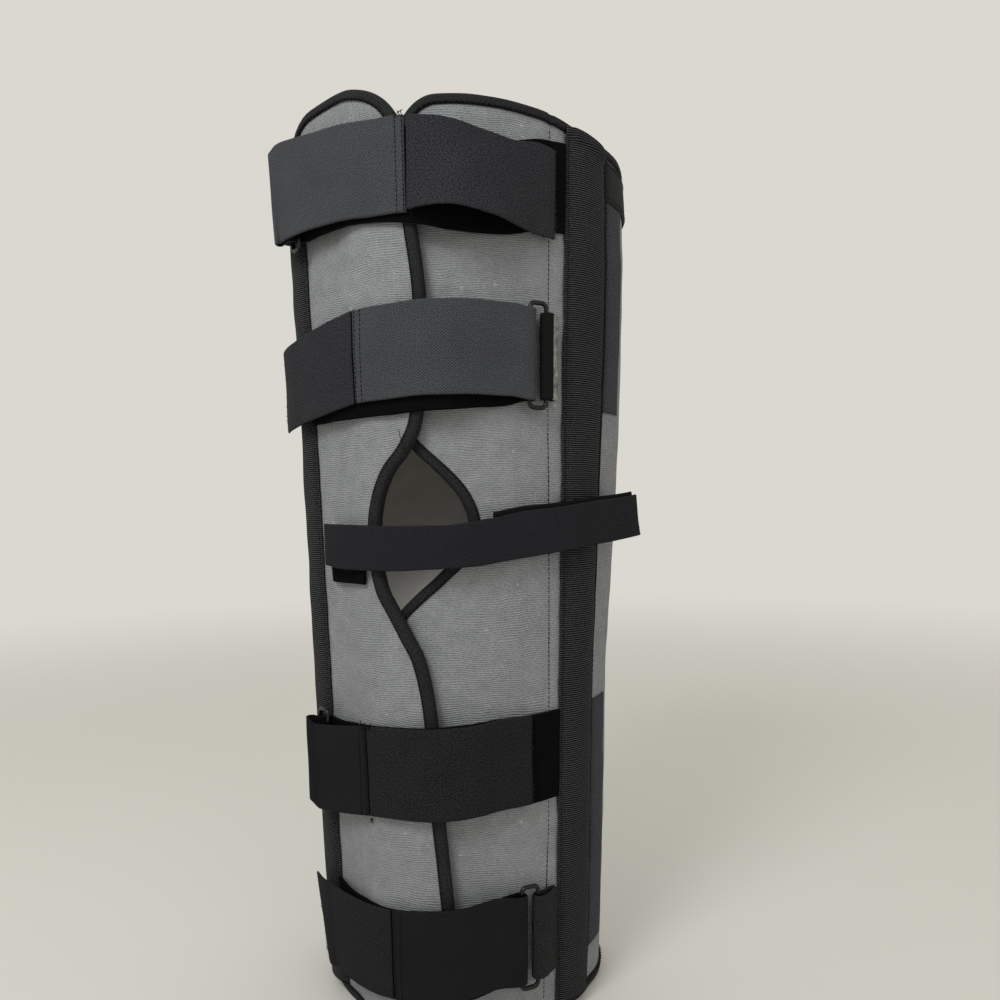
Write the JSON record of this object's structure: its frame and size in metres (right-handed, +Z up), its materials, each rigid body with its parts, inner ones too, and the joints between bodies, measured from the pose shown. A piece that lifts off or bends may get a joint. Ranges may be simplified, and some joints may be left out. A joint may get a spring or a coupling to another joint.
{
  "type": "knee immobilizer",
  "caption": "Tapered tube of grey foam laminate panels that holds a leg straight, with a knee-cap opening, dark edge binding, stay pockets and webbing straps closed through wire rings.",
  "frame": {"origin": "centre of the bounding box's footprint, on the surface that it stands on", "axes": "+Z up the leg, from calf to thigh; -Y is the wearer's front; +X is to the right when it is seen from the front"},
  "size_m": [0.223, 0.1694, 0.522],
  "materials": {
    "foam_laminate": "matte knitted face with fine horizontal rows, mottled",
    "binding": "smooth near-black tape with a soft sheen and a stitch line",
    "ribbed_tape": "black webbing with fine ribs across it",
    "loop_fabric": "fuzzy black loop pile",
    "webbing": "dark bluish grey twill webbing",
    "hook_fabric": "dark woven back of hook tape",
    "ring_wire": "glossy black wire"
  },
  "bodies": {
    "root": {"left_flap": "foam_laminate", "right_flap": "foam_laminate", "back_panel": "foam_laminate", "left_flap_binding": "binding", "right_flap_binding": "binding", "back_top_binding": "binding", "back_bottom_binding": "binding", "right_stay_pocket": "ribbed_tape", "left_stay_pocket": "ribbed_tape", "right_thigh_loop_strip": "loop_fabric", "left_thigh_loop_strip": "loop_fabric", "right_calf_loop_strip": "loop_fabric", "left_calf_loop_strip": "loop_fabric", "upper_back_band": "binding", "upper_thigh_strap": "webbing", "upper_thigh_hook_tab": "hook_fabric", "upper_thigh_ring": "ring_wire", "upper_thigh_ring_tab": "binding", "lower_thigh_strap": "webbing", "lower_thigh_hook_tab": "hook_fabric", "lower_thigh_ring": "ring_wire", "lower_thigh_ring_tab": "binding", "upper_calf_strap": "webbing", "upper_calf_hook_tab": "hook_fabric", "upper_calf_ring": "ring_wire", "upper_calf_ring_tab": "binding", "lower_calf_strap": "webbing", "lower_calf_hook_tab": "hook_fabric", "lower_calf_ring": "ring_wire", "lower_calf_ring_tab": "binding", "knee_strap": "webbing", "knee_strap_hook_tape": "hook_fabric", "knee_loop_piece": "loop_fabric"}
  },
  "joints": []
}
